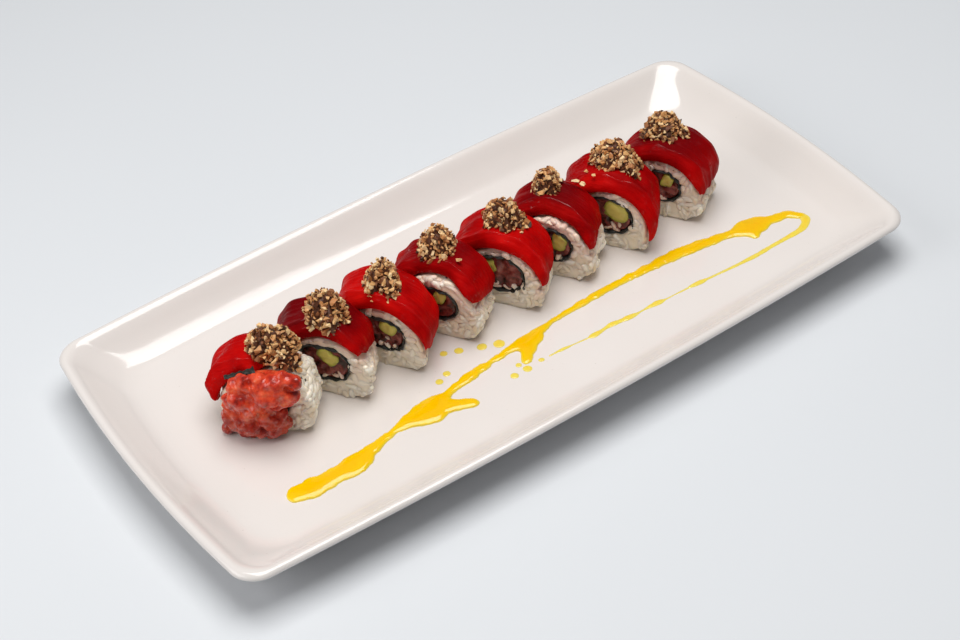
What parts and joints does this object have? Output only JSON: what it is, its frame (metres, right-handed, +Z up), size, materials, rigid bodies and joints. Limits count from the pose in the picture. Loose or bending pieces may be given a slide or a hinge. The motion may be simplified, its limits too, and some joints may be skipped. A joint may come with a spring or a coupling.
{
  "type": "plated uramaki roll",
  "caption": "Uramaki roll cut into pieces under draped raw tuna and nut crumble, in a slanting row on a shallow rectangular plate with a line of yellow sauce.",
  "frame": {"origin": "middle of the plate's footprint at the level of its foot", "axes": "+X along the plate's length towards the last roll piece, +Y across the plate away from the sauce line, +Z up"},
  "size_m": [0.3092, 0.1538, 0.0523],
  "materials": {
    "glazed_plate": "warm white gloss glaze",
    "sushi_rice": "moist cooked rice",
    "nori_sheet": "damp black green seaweed",
    "avocado_flesh": "soft yellow green flesh",
    "tuna_filling": "moist dark red flesh",
    "tuna_flesh": "wet deep red flesh",
    "nut_crumble": "toasted broken nuts",
    "chopped_tuna": "wet coral red flesh",
    "yellow_sauce": "glossy yellow sauce"
  },
  "bodies": {
    "root": {"plate": "glazed_plate", "rice_1": "sushi_rice", "rice_2": "sushi_rice", "rice_3": "sushi_rice", "rice_4": "sushi_rice", "rice_5": "sushi_rice", "rice_6": "sushi_rice", "rice_7": "sushi_rice", "rice_8": "sushi_rice", "nori_1": "nori_sheet", "nori_2": "nori_sheet", "nori_3": "nori_sheet", "nori_4": "nori_sheet", "nori_5": "nori_sheet", "nori_6": "nori_sheet", "nori_7": "nori_sheet", "nori_8": "nori_sheet", "avocado_1": "avocado_flesh", "avocado_2": "avocado_flesh", "avocado_3": "avocado_flesh", "avocado_4": "avocado_flesh", "avocado_5": "avocado_flesh", "avocado_6": "avocado_flesh", "avocado_7": "avocado_flesh", "avocado_8": "avocado_flesh", "tuna_filling_1": "tuna_filling", "tuna_filling_2": "tuna_filling", "tuna_filling_3": "tuna_filling", "tuna_filling_4": "tuna_filling", "tuna_filling_5": "tuna_filling", "tuna_filling_6": "tuna_filling", "tuna_filling_7": "tuna_filling", "tuna_filling_8": "tuna_filling", "tuna_slice_1": "tuna_flesh", "tuna_slice_2": "tuna_flesh", "tuna_slice_3": "tuna_flesh", "tuna_slice_4": "tuna_flesh", "tuna_slice_5": "tuna_flesh", "tuna_slice_6": "tuna_flesh", "tuna_slice_7": "tuna_flesh", "tuna_slice_8": "tuna_flesh", "nut_crumble_1": "nut_crumble", "nut_crumble_2": "nut_crumble", "nut_crumble_3": "nut_crumble", "nut_crumble_4": "nut_crumble", "nut_crumble_5": "nut_crumble", "nut_crumble_6": "nut_crumble", "nut_crumble_7": "nut_crumble", "nut_crumble_8": "nut_crumble", "chopped_tuna": "chopped_tuna"}
  },
  "joints": []
}
